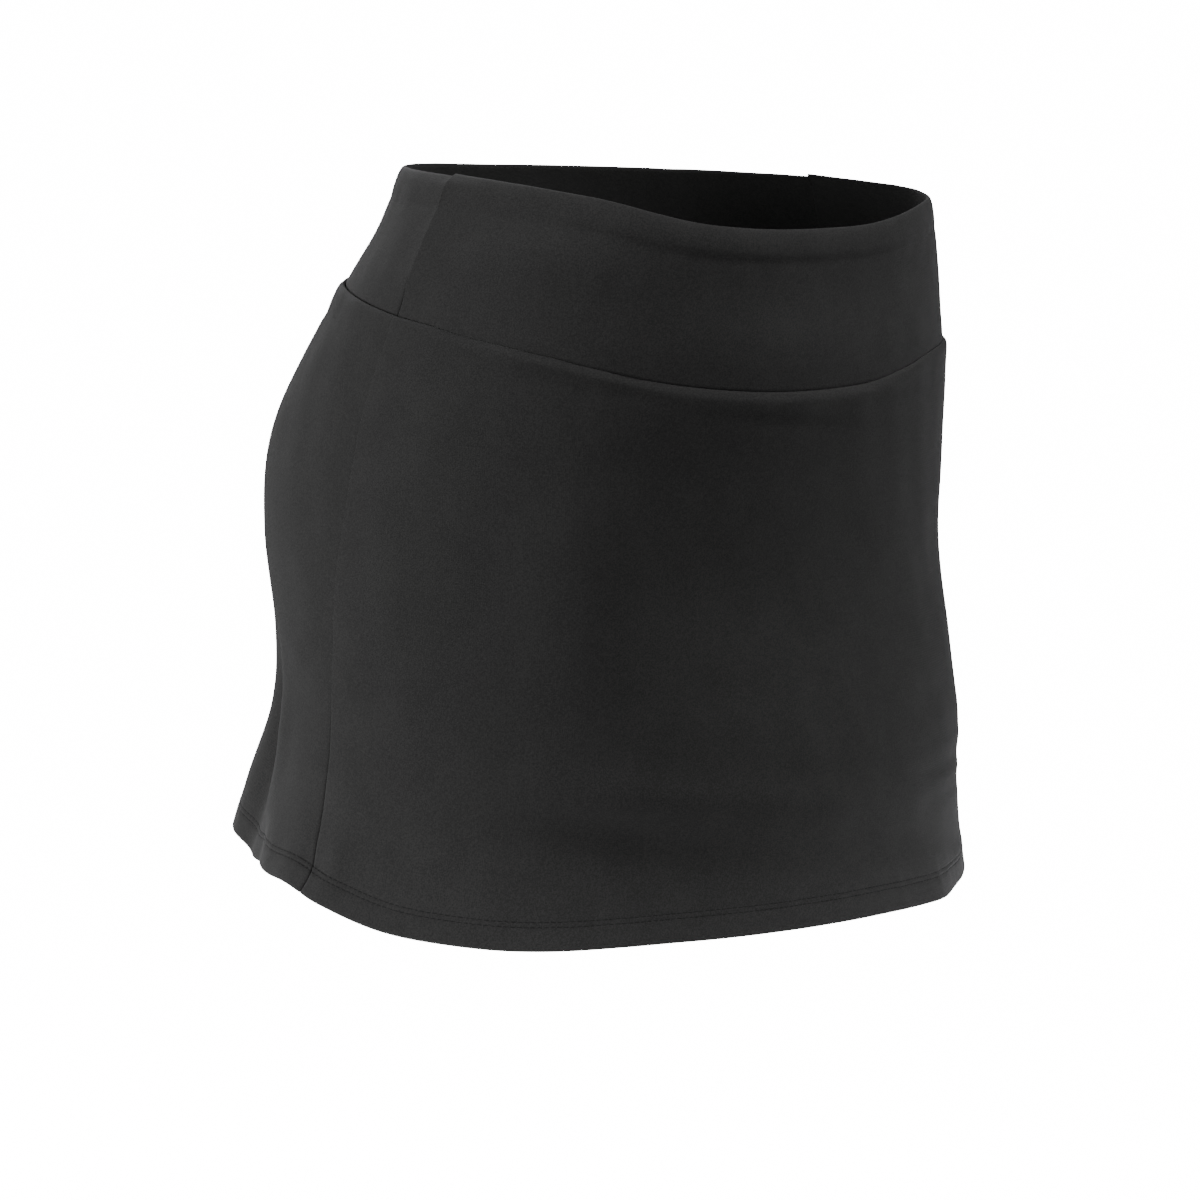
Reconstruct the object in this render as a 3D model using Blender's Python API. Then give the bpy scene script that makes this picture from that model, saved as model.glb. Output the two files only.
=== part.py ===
"""A yoga skort as it is worn: a wide waistband, a flared skirt and short inner shorts, all open and hollow.

Metres, +Z up. The origin is the middle of the waist's opening, -Y is the front and -X the wearer's right.
Angles run round the garment in degrees: 0 is the centre front, 90 the wearer's right, 180 the centre back.
"""
import math
from collections import namedtuple

import bpy
import numpy as np

# Cloth and seams.
SEAM_GAP = 0.0003            # left between two cut edges that are sewn together
SHORTS_WALL = 0.0010         # one layer of light knit
PANEL_COLUMNS = 37           # lines down each panel of the waistband and the skirt
SHORTS_COLUMNS_EACH = 14     # lines down each of the four panels of the shorts
FRONT_BAND_RISE = 0.0012     # the front waistband stands this much over the back one at the side seams
FRONT_BAND_CORNER = 8        # the power with which it rises, close to the seams only
SIDE_LINE = 95.0             # the angle of the side seams, apart from their slant at the waist
SHARP_EDGE = 45.0            # degrees between two faces from which their edge is drawn sharp
CHARCOAL = (0.030, 0.030, 0.032)
SHORTS_BLACK = (0.018, 0.018, 0.019)

# Half the steps over which a surface's slope is measured: down it, and round it in degrees or in shares.
HEIGHT_STEP = 0.0005
ANGLE_STEP = 0.2
SHARE_STEP = 0.01

# The body of the garment, one row for each level. The squareness is 2 for an ellipse and more for a
# fuller, squarer oval.
Section = namedtuple("Section", "height half_width front_depth back_depth centre front_square back_square")
SECTIONS = (
    Section(-0.370, 0.2060, 0.1500, 0.1635, 0.0080, 2.12, 2.12),
    Section(-0.330, 0.1975, 0.1455, 0.1610, 0.0075, 2.10, 2.17),
    Section(-0.290, 0.1890, 0.1430, 0.1545, 0.0070, 2.08, 2.22),
    Section(-0.250, 0.1850, 0.1410, 0.1370, 0.0065, 2.05, 2.28),
    Section(-0.210, 0.1830, 0.1335, 0.1365, 0.0075, 2.02, 2.33),
    Section(-0.170, 0.1800, 0.1240, 0.1490, 0.0095, 2.04, 2.37),
    Section(-0.130, 0.1745, 0.1190, 0.1545, 0.0085, 2.16, 2.40),
    Section(-0.090, 0.1675, 0.1150, 0.1375, 0.0070, 2.29, 2.42),
    Section(-0.055, 0.1560, 0.1100, 0.1180, 0.0045, 2.40, 2.45),
    Section(-0.025, 0.1425, 0.1060, 0.1065, 0.0015, 2.50, 2.47),
    Section(0.005, 0.1290, 0.1000, 0.1010, -0.0005, 2.59, 2.49),
)

# The heights of the rim, of the seam under the waistband and of the hem, one row each 30 degrees.
# The rim and the seam dip at the front, and the hem dips at the sides and the front.
Edge = namedtuple("Edge", "angle rim waist_seam hem")
EDGES = (
    Edge(0, -0.0120, -0.0840, -0.3255),
    Edge(30, -0.0110, -0.0820, -0.3260),
    Edge(60, -0.0020, -0.0710, -0.3305),
    Edge(90, 0.0015, -0.0625, -0.3230),
    Edge(120, 0.0020, -0.0545, -0.3145),
    Edge(150, 0.0015, -0.0520, -0.3085),
    Edge(180, 0.0000, -0.0510, -0.3075),
    Edge(210, -0.0005, -0.0520, -0.3090),
    Edge(240, 0.0000, -0.0560, -0.3145),
    Edge(270, 0.0010, -0.0620, -0.3220),
    Edge(300, 0.0005, -0.0685, -0.3280),
    Edge(330, -0.0030, -0.0720, -0.3295),
)

# The hem hangs a little unevenly: it is drawn up at the side seams and sinks beside them.
Wave = namedtuple("Wave", "angle rise spread")
HEM_WAVES = (
    Wave(78.0, -0.0018, 10.0),
    Wave(98.0, 0.0026, 6.0),
    Wave(147.0, -0.0012, 12.0),
    Wave(215.0, 0.0012, 12.0),
    Wave(263.0, 0.0024, 7.0),
    Wave(284.0, -0.0014, 11.0),
)

# The side seams lean back a little more at the waist than below it.
Seam = namedtuple("Seam", "height angle")
SIDE_SEAM = (
    Seam(-0.340, 95.0),
    Seam(-0.060, 95.0),
    Seam(0.000, 97.5),
)

# Soft folds that open towards the hem, one row each. The push is the most that the fold reaches, outwards
# if positive, and the stiffer double cloth of the hem keeps only a share of it.
Fold = namedtuple("Fold", "angle lean starts push spread at_hem")
FOLDS = (
    Fold(112.0, 0.0, -0.200, -0.0020, 8.0, 0.8),
    Fold(124.0, -3.0, -0.195, -0.0100, 4.5, 0.65),
    Fold(164.0, 2.0, -0.205, -0.0065, 9.0, 0.7),
    Fold(184.0, 0.0, -0.215, 0.0040, 8.0, 1.0),
    Fold(205.0, 3.0, -0.200, -0.0075, 8.0, 0.7),
    Fold(240.0, 5.0, -0.195, -0.0085, 5.5, 0.6),
    Fold(251.0, 4.0, -0.205, 0.0020, 6.0, 1.0),
    Fold(288.0, -3.0, -0.225, -0.0040, 9.0, 0.8),
)
FOLD_RUN = 0.075             # a fold is fully open this far below its start
FOLD_END = -0.320            # the height of the hem, where a fold keeps only its share

# Lines across a wall, from its top edge to its bottom edge. The share runs from the upper edge to the
# lower one, the shift is added to it, and the two faces are set out from the garment's body.
Row = namedtuple("Row", "share shift outer inner")
BAND_ROWS = (
    Row(0.00, 0.0000, 0.0000, -0.0012),
    Row(0.00, -0.0012, 0.0009, -0.0015),
    Row(0.00, -0.0040, 0.0014, -0.0016),
    Row(0.00, -0.0100, 0.0012, -0.0017),
    Row(0.00, -0.0165, 0.0003, -0.0018),
    Row(0.50, -0.0040, 0.0000, -0.0021),
    Row(1.00, 0.0200, -0.0002, -0.0024),
    Row(1.00, 0.0080, -0.0010, -0.0032),
    Row(1.00, 0.0000, -0.0016, -0.0037),
    Row(1.00, -0.0100, -0.0016, -0.0037),
)
SKIRT_ROWS = (
    Row(0.00, 0.0000, 0.0005, -0.0009),
    Row(0.00, -0.0012, 0.0015, -0.0012),
    Row(0.00, -0.0040, 0.0018, -0.0012),
    Row(0.00, -0.0100, 0.0013, -0.0010),
    Row(0.00, -0.0200, 0.0005, -0.0008),
    Row(0.14, -0.0060, 0.0001, -0.0011),
    Row(0.28, 0.0000, 0.0000, -0.0012),
    Row(0.40, 0.0000, 0.0000, -0.0012),
    Row(0.51, 0.0000, 0.0000, -0.0012),
    Row(0.61, 0.0000, 0.0000, -0.0012),
    Row(0.70, 0.0000, 0.0000, -0.0012),
    Row(0.78, 0.0000, 0.0000, -0.0012),
    Row(0.86, 0.0000, 0.0000, -0.0012),
    Row(1.00, 0.0145, 0.0000, -0.0012),
    Row(1.00, 0.0115, 0.0001, -0.0021),
    Row(1.00, 0.0012, 0.0001, -0.0021),
    Row(1.00, 0.0000, -0.0003, -0.0017),
)

# The shorts: how far they stand inside the body of the garment, and how far they have turned from one
# half of it (0) into the tube of a leg (1).
Level = namedtuple("Level", "height inset turned")
SHORTS_LEVELS = (
    Level(-0.300, 0.0060, 1.00),
    Level(-0.243, 0.0060, 1.00),
    Level(-0.238, 0.0060, 0.84),
    Level(-0.230, 0.0060, 0.62),
    Level(-0.218, 0.0055, 0.36),
    Level(-0.202, 0.0050, 0.15),
    Level(-0.180, 0.0045, 0.02),
    Level(-0.160, 0.0040, 0.00),
    Level(-0.110, 0.0030, 0.00),
    Level(-0.060, 0.0019, 0.00),
    Level(-0.030, 0.0019, 0.00),
)
CROTCH = -0.243
SHORTS_TOP_DROP = 0.0106     # the shorts start a seam gap under the waistband's hidden lower edge
SHORTS_BASE = -0.160         # above this level their lines follow the slanting seam, below it they are level
SHORTS_SHARES = (0.0, 0.3, 0.65, 1.0)
SHORTS_HEIGHTS = (-0.180, -0.202, -0.218, -0.230, -0.238, CROTCH, -0.256, -0.276, -0.2965, -0.298)

# The legs of the shorts, one row for each level. The thigh gap is from the centre plane to the leg.
Leg = namedtuple("Leg", "height thigh_gap half_width half_depth centre")
LEGS = (
    Leg(-0.300, 0.0120, 0.0780, 0.0940, 0.0010),
    Leg(-0.270, 0.0055, 0.0820, 0.0985, 0.0025),
    Leg(CROTCH, SEAM_GAP / 2, 0.0860, 0.1030, 0.0040),
    Leg(-0.150, SEAM_GAP / 2, 0.0860, 0.1030, 0.0040),
)


def column(table, name):
    """One named column of a table, as an array."""
    return np.array([getattr(row, name) for row in table], dtype=float)


def smooth(stations, values, at):
    """Values read from one smooth curve through all the stations, which rise."""
    at = np.clip(at, stations[0], stations[-1])
    slopes = np.gradient(values, stations)
    low = np.clip(np.searchsorted(stations, at, side="right") - 1, 0, len(stations) - 2)
    span = stations[low + 1] - stations[low]
    t = (at - stations[low]) / span
    rise = 3 * t ** 2 - 2 * t ** 3
    bend_low = (t ** 3 - 2 * t ** 2 + t) * span * slopes[low]
    bend_high = (t ** 3 - t ** 2) * span * slopes[low + 1]
    return values[low] * (1 - rise) + values[low + 1] * rise + bend_low + bend_high


def section(name, height):
    """A measure of the garment's body at a height."""
    return smooth(column(SECTIONS, "height"), column(SECTIONS, name), height)


def edge(name, angle):
    """The height of the rim, the waist seam or the hem at an angle, the same after a full turn."""
    angles = column(EDGES, "angle")
    heights = column(EDGES, name)
    stations = np.concatenate([angles - 360, angles, angles + 360])
    return smooth(stations, np.tile(heights, 3), angle)


def bump(angle, centre, spread):
    """A soft bump, 1 high at its centre, that takes its spread in degrees to sink to about a third."""
    away = (angle - centre + 180) % 360 - 180
    return np.exp(-(away / spread) ** 2)


def hem_height(angle):
    """The height of the hem at an angle, with its small waves."""
    height = edge("hem", angle)
    for wave in HEM_WAVES:
        height = height + wave.rise * bump(angle, wave.angle, wave.spread)
    return height


def side_angle(height):
    """Where the wearer's right side seam lies at a height."""
    return smooth(column(SIDE_SEAM, "height"), column(SIDE_SEAM, "angle"), height)


def signed_power(value, power):
    """A power that keeps the sign, for an oval that is fuller than an ellipse."""
    return np.sign(value) * np.abs(value) ** power


def body(angle, height):
    """A point of the garment's body, with no folds."""
    angle, height = np.broadcast_arrays(angle, height)
    ahead = np.cos(np.radians(angle))
    aside = np.sin(np.radians(angle))
    in_front = ahead > 0
    square = np.where(in_front, section("front_square", height), section("back_square", height))
    depth = np.where(in_front, section("front_depth", height), section("back_depth", height))
    x = -section("half_width", height) * signed_power(aside, 2 / square)
    y = section("centre", height) - depth * signed_power(ahead, 2 / square)
    return np.stack([x, y, height], axis=-1)


def ease(share):
    """A share from 0 to 1 that starts and ends softly."""
    share = np.clip(share, 0, 1)
    return share ** 2 * (3 - 2 * share)


def fold_push(angle, height):
    """How far the folds push the skirt out at a point."""
    push = np.zeros(np.broadcast(angle, height).shape)
    for fold in FOLDS:
        opened = ease((fold.starts - height) / FOLD_RUN)
        fully_open = fold.starts - FOLD_RUN
        kept = 1 - (1 - fold.at_hem) * ease((fully_open - height) / (fully_open - FOLD_END))
        reach = fold.push * opened * kept
        push = push + reach * bump(angle, fold.angle + fold.lean * opened, fold.spread)
    return push


def skirt(angle, height):
    """A point of the skirt: the body with its folds."""
    turn = np.radians(angle)
    push = fold_push(angle, height)
    outward = np.stack(np.broadcast_arrays(-np.sin(turn) * push, -np.cos(turn) * push, 0 * push), axis=-1)
    return body(angle, height) + outward


def lift(surface, around, height, distance, step):
    """Points set off a surface along its normal, outwards if the distance is positive."""
    along = surface(around + step, height) - surface(around - step, height)
    upward = surface(around, height + HEIGHT_STEP) - surface(around, height - HEIGHT_STEP)
    normal = np.cross(upward, along)
    normal /= np.linalg.norm(normal, axis=-1, keepdims=True)
    return surface(around, height) + normal * distance


def half_gap(surface, around, height, step):
    """Half a seam gap, in the measure that runs round a surface."""
    width = np.linalg.norm(surface(around + step, height) - surface(around - step, height))
    return SEAM_GAP / width * step


def rim_height(angle):
    """The height of the rim at an angle."""
    return edge("rim", angle)


def front_rim_height(angle):
    """The height of the front waistband's rim, which rises to its side seams."""
    return rim_height(angle) + FRONT_BAND_RISE * np.abs(angle / side_angle(0)) ** FRONT_BAND_CORNER


def waist_seam_height(angle):
    """The height of the seam under the waistband at an angle."""
    return edge("waist_seam", angle)


def panel(name, surface, rows, upper, lower, front, colour):
    """A front or back panel between the side seams, as a closed wall."""
    outer, inner = [], []
    for row in rows:
        level = upper(SIDE_LINE) * (1 - row.share) + lower(SIDE_LINE) * row.share + row.shift
        side = float(side_angle(level))
        gap = half_gap(surface, side, level, ANGLE_STEP)
        start, end = (gap - side, side - gap) if front else (side + gap, 360 - side - gap)
        angles = np.linspace(start, end, PANEL_COLUMNS)
        heights = upper(angles) * (1 - row.share) + lower(angles) * row.share + row.shift
        outer.append(lift(surface, angles, heights, row.outer, ANGLE_STEP))
        inner.append(lift(surface, angles, heights, row.inner, ANGLE_STEP))
    wall(name, np.array(outer), np.array(inner), colour)


def leg(around, height):
    """A point of the wearer's right leg tube: 0 and 1 are the inseam, 0.5 is the outer thigh."""
    thigh_gap, half_width, half_depth, centre = (
        smooth(column(LEGS, "height"), column(LEGS, name), height)
        for name in ("thigh_gap", "half_width", "half_depth", "centre"))
    inseam = SEAM_GAP / 2 / half_depth
    turn = inseam + (2 * math.pi - 2 * inseam) * around
    x = -thigh_gap - half_width * (1 - np.cos(turn))
    y = centre - half_depth * np.sin(turn)
    return np.stack(np.broadcast_arrays(x, y, height), axis=-1)


def shorts(around, height):
    """A point of the wearer's right leg of the shorts, from the centre front round to the centre back."""
    heights = column(SHORTS_LEVELS, "height")
    inset = smooth(heights, column(SHORTS_LEVELS, "inset"), height)
    turned = smooth(heights, column(SHORTS_LEVELS, "turned"), height)
    turned = np.clip(turned, 0, 1)[..., None]
    half_body = lift(body, 180 * around, height, -inset[..., None], ANGLE_STEP)
    return half_body * (1 - turned) + leg(around, height) * turned


def shorts_panel(name, front, mirrored, colour):
    """A front or back panel of one leg of the shorts, from the centre seam and inseam to the side."""
    side_gap = half_gap(shorts, 0.5, np.float64(SHORTS_BASE), SHARE_STEP)
    around = np.linspace(0, 0.5 - side_gap, SHORTS_COLUMNS_EACH)
    if not front:
        around = 1 - around
    angle = -180 * around if mirrored else 180 * around
    top = waist_seam_height(angle) - SHORTS_TOP_DROP
    levels = [top * (1 - share) + SHORTS_BASE * share for share in SHORTS_SHARES]
    levels += [np.full(SHORTS_COLUMNS_EACH, height) for height in SHORTS_HEIGHTS]
    outer = np.array([shorts(around, level) for level in levels])
    inner = np.array([lift(shorts, around, level, -SHORTS_WALL, SHARE_STEP) for level in levels])
    for face in (outer, inner):
        face[..., 0] = np.minimum(face[..., 0], -SEAM_GAP / 2)
        if mirrored:
            face[..., 0] *= -1
    wall(name, outer, inner, colour)


def knit(name, colour):
    """A matt knit material."""
    material = bpy.data.materials.new(name)
    material.use_nodes = True
    shader = material.node_tree.nodes["Principled BSDF"]
    shader.inputs["Base Color"].default_value = (*colour, 1.0)
    shader.inputs["Roughness"].default_value = 0.85
    shader.inputs["Metallic"].default_value = 0.0
    return material


def wall(name, outer, inner, colour):
    """A closed wall between an outer and an inner grid of points, which have the same rows and columns."""
    rows, columns = outer.shape[:2]
    count = rows * columns
    vertices = np.concatenate([outer.reshape(-1, 3), inner.reshape(-1, 3)])
    faces = []
    for row in range(rows - 1):
        for line in range(columns - 1):
            corner = row * columns + line
            quad = (corner, corner + 1, corner + columns + 1, corner + columns)
            faces.append(quad)
            faces.append(tuple(count + index for index in reversed(quad)))
    rim = list(range(columns))
    rim += [row * columns + columns - 1 for row in range(1, rows)]
    rim += [(rows - 1) * columns + line for line in range(columns - 2, -1, -1)]
    rim += [row * columns for row in range(rows - 2, 0, -1)]
    for here, there in zip(rim, rim[1:] + rim[:1]):
        faces.append((there, here, count + here, count + there))
    mesh = bpy.data.meshes.new(name)
    mesh.from_pydata(vertices.tolist(), [], faces)
    mesh.update()
    if signed_volume(mesh) < 0:
        mesh.flip_normals()
    mesh.shade_smooth()
    mesh.set_sharp_from_angle(angle=math.radians(SHARP_EDGE))
    mesh.materials.append(knit(name, colour))
    bpy.context.scene.collection.objects.link(bpy.data.objects.new(name, mesh))


def signed_volume(mesh):
    """The volume inside a closed mesh, negative where its faces point inwards."""
    mesh.calc_loop_triangles()
    points = np.array([vertex.co for vertex in mesh.vertices])
    corners = points[np.array([triangle.vertices[:] for triangle in mesh.loop_triangles])]
    return float(np.einsum("ij,ij->i", corners[:, 0], np.cross(corners[:, 1], corners[:, 2])).sum() / 6)


def clear_scene():
    """Take away what the scene holds before the garment is made."""
    for item in list(bpy.data.objects):
        bpy.data.objects.remove(item, do_unlink=True)


def main():
    clear_scene()
    panel("waistband_front", body, BAND_ROWS, front_rim_height, waist_seam_height, True, CHARCOAL)
    panel("waistband_back", body, BAND_ROWS, rim_height, waist_seam_height, False, CHARCOAL)
    panel("skirt_front", skirt, SKIRT_ROWS, waist_seam_height, hem_height, True, CHARCOAL)
    panel("skirt_back", skirt, SKIRT_ROWS, waist_seam_height, hem_height, False, CHARCOAL)
    shorts_panel("shorts_front_right", True, False, SHORTS_BLACK)
    shorts_panel("shorts_front_left", True, True, SHORTS_BLACK)
    shorts_panel("shorts_back_right", False, False, SHORTS_BLACK)
    shorts_panel("shorts_back_left", False, True, SHORTS_BLACK)


main()
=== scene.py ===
"""A yoga skort as it is worn, in charcoal knit: a skirt, a wide waistband and short inner shorts, all open.

Metres, +Z up. The origin is the middle of the waist's opening, -Y is the front and -X the wearer's right.
Angles run round the garment in degrees: 0 is the centre front, 90 the wearer's right, 180 the centre back.
"""
import math
from collections import namedtuple
from functools import partial

import bpy
import numpy as np
from mathutils import Matrix


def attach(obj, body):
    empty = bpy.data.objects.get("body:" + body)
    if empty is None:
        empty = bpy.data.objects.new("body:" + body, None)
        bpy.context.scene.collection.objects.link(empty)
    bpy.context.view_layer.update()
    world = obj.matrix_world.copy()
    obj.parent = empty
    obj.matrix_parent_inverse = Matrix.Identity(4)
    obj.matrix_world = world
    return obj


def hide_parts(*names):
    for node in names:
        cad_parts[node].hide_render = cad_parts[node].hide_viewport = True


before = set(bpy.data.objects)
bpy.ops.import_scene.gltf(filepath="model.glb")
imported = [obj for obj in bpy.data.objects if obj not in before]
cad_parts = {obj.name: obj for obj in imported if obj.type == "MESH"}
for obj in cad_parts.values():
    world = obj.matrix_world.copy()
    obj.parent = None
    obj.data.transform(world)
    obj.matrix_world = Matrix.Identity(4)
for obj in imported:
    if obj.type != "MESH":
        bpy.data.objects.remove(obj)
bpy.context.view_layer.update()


# ---- The skirt --------------------------------------------------------------------------------------
# A front and a back panel of charcoal double knit with a faint nap, a little wider at the hem than at the
# waist. They are sewn together at the sides, their top edge is rolled over the waist seam, and the hem is
# turned up and stitched 12 mm over its edge. Each is one wall of cloth, whose edges are rounded in.

Section = namedtuple("Section", "height half_width front_depth back_depth centre front_square back_square")
SECTIONS = (
    Section(-0.370, 0.2060, 0.1500, 0.1635, 0.0080, 2.12, 2.12),
    Section(-0.330, 0.1975, 0.1455, 0.1610, 0.0075, 2.10, 2.17),
    Section(-0.290, 0.1890, 0.1430, 0.1545, 0.0070, 2.08, 2.22),
    Section(-0.250, 0.1850, 0.1410, 0.1370, 0.0065, 2.05, 2.28),
    Section(-0.210, 0.1830, 0.1335, 0.1365, 0.0075, 2.02, 2.33),
    Section(-0.170, 0.1800, 0.1240, 0.1490, 0.0095, 2.04, 2.37),
    Section(-0.130, 0.1745, 0.1190, 0.1545, 0.0085, 2.16, 2.40),
    Section(-0.090, 0.1675, 0.1150, 0.1375, 0.0070, 2.29, 2.42),
    Section(-0.055, 0.1560, 0.1100, 0.1180, 0.0045, 2.40, 2.45),
    Section(-0.025, 0.1425, 0.1060, 0.1065, 0.0015, 2.50, 2.47),
    Section(0.005, 0.1290, 0.1000, 0.1010, -0.0005, 2.59, 2.49),
)

Edge = namedtuple("Edge", "angle rim waist_seam hem")
EDGES = (
    Edge(0, -0.0120, -0.0840, -0.3255),
    Edge(30, -0.0110, -0.0820, -0.3260),
    Edge(60, -0.0020, -0.0710, -0.3305),
    Edge(90, 0.0015, -0.0625, -0.3230),
    Edge(120, 0.0020, -0.0545, -0.3145),
    Edge(150, 0.0015, -0.0520, -0.3085),
    Edge(180, 0.0000, -0.0510, -0.3075),
    Edge(210, -0.0005, -0.0520, -0.3090),
    Edge(240, 0.0000, -0.0560, -0.3145),
    Edge(270, 0.0010, -0.0620, -0.3220),
    Edge(300, 0.0005, -0.0685, -0.3280),
    Edge(330, -0.0030, -0.0720, -0.3295),
)

Wave = namedtuple("Wave", "angle rise spread")
HEM_WAVES = (
    Wave(78.0, -0.0018, 10.0),
    Wave(98.0, 0.0026, 6.0),
    Wave(119.5, -0.0036, 5.2),
    Wave(147.0, -0.0012, 12.0),
    Wave(215.0, 0.0012, 12.0),
    Wave(263.0, 0.0024, 7.0),
    Wave(284.0, -0.0014, 11.0),
)

Seam = namedtuple("Seam", "height angle")
SIDE_SEAM = (
    Seam(-0.340, 95.6),
    Seam(-0.322, 94.3),
    Seam(-0.312, 94.0),
    Seam(-0.298, 95.1),
    Seam(-0.275, 95.4),
    Seam(-0.200, 96.4),
    Seam(-0.150, 95.2),
    Seam(-0.110, 95.6),
    Seam(-0.060, 95.2),
    Seam(0.005, 96.5),
)
SIDE_LINE = 95.0             # about where the side seams are
SEAM_OVERLAP = 0.00003       # each panel runs this far past the seam, so that no light shows through it

# Folds that open towards the hem. The hem's double cloth keeps only a share of each.
Fold = namedtuple("Fold", "angle lean starts push spread at_hem")
FOLDS = (
    Fold(112.0, 0.0, -0.200, -0.0020, 8.0, 0.8),
    Fold(124.0, -3.0, -0.195, -0.0100, 4.5, 0.65),
    Fold(164.0, 2.0, -0.205, -0.0065, 9.0, 0.7),
    Fold(184.0, 0.0, -0.215, 0.0040, 8.0, 1.0),
    Fold(205.0, 3.0, -0.200, -0.0075, 8.0, 0.7),
    Fold(240.0, 5.0, -0.195, -0.0085, 5.5, 0.6),
    Fold(251.0, 4.0, -0.205, 0.0020, 6.0, 1.0),
    Fold(288.0, -3.0, -0.225, -0.0040, 9.0, 0.8),
)
FOLD_RUN = 0.075             # a fold is fully open this far below its start
FOLD_END = -0.320            # down here only its share at the hem is left

# Soft creases, outwards if the push is positive. The reach runs round the garment in degrees, the spread up
# and down in metres, and the tilt is how far the crease climbs in each degree.
Crease = namedtuple("Crease", "angle height reach spread tilt push")
BODY_FORMS = (
    # the belly, the hollow under it and the front of the hip, which all the pieces follow
    Crease(10.0, -0.0840, 27.0, 0.0320, 0.00000, 0.0046),
    Crease(8.0, -0.2000, 27.0, 0.0400, 0.00000, -0.0058),
    Crease(48.0, -0.1720, 11.0, 0.0460, 0.00000, 0.0072),
)
SKIRT_CREASES = (
    # a swell and a hollow across the front over the hem, as the cloth rests on the thighs
    Crease(10.0, -0.2700, 34.0, 0.0095, 0.00033, 0.0030),
    Crease(13.0, -0.2680, 7.0, 0.0060, 0.00000, 0.0004),
    Crease(40.0, -0.2670, 11.0, 0.0050, 0.00000, 0.0005),
    Crease(34.0, -0.2860, 27.0, 0.0085, 0.00033, -0.0036),
    Crease(-14.0, -0.2980, 18.0, 0.0080, 0.00030, -0.0024),
    # a steeper fall between the two, towards the wearer's right
    Crease(40.0, -0.2625, 14.0, 0.0080, 0.00025, 0.0020),
    Crease(40.0, -0.2785, 14.0, 0.0075, 0.00025, -0.0026),
    # small ripples across the front
    Crease(-8.0, -0.2490, 7.0, 0.0022, -0.00010, 0.0004),
    Crease(-24.0, -0.2330, 9.0, 0.0080, 0.00000, -0.0010),
    Crease(-31.0, -0.2590, 13.0, 0.0042, 0.00005, 0.0008),
    Crease(-29.0, -0.2680, 12.0, 0.0030, 0.00010, -0.0006),
    Crease(-33.0, -0.2735, 12.0, 0.0030, 0.00012, 0.0008),
    Crease(-30.0, -0.2820, 11.0, 0.0035, 0.00010, -0.0009),
    Crease(-38.0, -0.3150, 9.0, 0.0040, 0.00000, 0.0008),
    Crease(2.0, -0.3030, 6.0, 0.0032, -0.00030, -0.0008),
    Crease(47.0, -0.3120, 7.0, 0.0045, 0.00000, -0.0007),
    Crease(26.0, -0.3130, 5.0, 0.0040, 0.00000, -0.0006),
    # beside the wearer's right side seam over the hem: drawn in behind it, a sharp swell in front of it
    Crease(101.0, -0.3020, 4.5, 0.0130, 0.00000, -0.0012),
    Crease(114.5, -0.3130, 4.5, 0.0200, 0.00000, -0.0046),
    Crease(113.5, -0.2540, 4.0, 0.0200, 0.00000, 0.0020),
    Crease(95.5, -0.2990, 3.5, 0.0160, 0.00000, -0.0010),
    Crease(90.3, -0.3080, 1.6, 0.0150, 0.00000, 0.0011),
    Crease(85.0, -0.3090, 4.0, 0.0090, 0.00000, -0.0011),
    Crease(91.5, -0.2700, 3.0, 0.0150, 0.00000, 0.0007),
    Crease(107.0, -0.2180, 4.0, 0.0100, 0.00000, 0.0010),
    # the seam allowance that shows through under the waist seam
    Crease(64.0, -0.0738, 11.0, 0.0024, 0.00028, 0.0004),
    Crease(62.0, -0.0797, 12.0, 0.0030, 0.00030, -0.0007),
    Crease(46.0, -0.0803, 8.0, 0.0024, 0.00034, 0.0004),
    Crease(45.0, -0.0858, 9.0, 0.0030, 0.00034, -0.0006),
    Crease(12.0, -0.0938, 13.0, 0.0028, 0.00024, 0.0004),
    Crease(11.0, -0.0998, 14.0, 0.0034, 0.00024, -0.0006),
    Crease(-26.0, -0.0870, 10.0, 0.0026, -0.00010, 0.0003),
    Crease(-26.0, -0.0920, 11.0, 0.0030, -0.00010, -0.0005),
    Crease(262.0, -0.0720, 10.0, 0.0026, -0.00022, 0.0003),
    Crease(262.0, -0.0775, 10.0, 0.0030, -0.00022, -0.0005),
    Crease(128.0, -0.0680, 14.0, 0.0030, 0.00008, -0.0005),
    Crease(186.0, -0.0655, 16.0, 0.0030, 0.00000, -0.0005),
    Crease(228.0, -0.0680, 12.0, 0.0028, -0.00010, -0.0004),
    # slack over the seat and under it
    Crease(150.0, -0.2320, 14.0, 0.0100, 0.00020, -0.0012),
    Crease(168.0, -0.2180, 12.0, 0.0080, -0.00012, 0.0010),
    Crease(212.0, -0.2280, 15.0, 0.0090, -0.00022, -0.0013),
    Crease(226.0, -0.2140, 10.0, 0.0075, 0.00015, 0.0009),
    Crease(190.0, -0.2620, 18.0, 0.0100, 0.00004, -0.0010),
    # the wearer's left side
    Crease(258.0, -0.2950, 4.5, 0.0150, 0.00000, -0.0011),
    Crease(270.5, -0.3020, 2.2, 0.0150, 0.00000, 0.0009),
    Crease(277.0, -0.3000, 5.0, 0.0110, 0.00000, -0.0010),
    Crease(292.0, -0.2700, 16.0, 0.0085, -0.00008, -0.0010),
    Crease(304.0, -0.2480, 14.0, 0.0100, -0.00005, 0.0008),
)


def column(table, name):
    """One named column of a table, as an array."""
    return np.array([getattr(row, name) for row in table], dtype=float)


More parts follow.
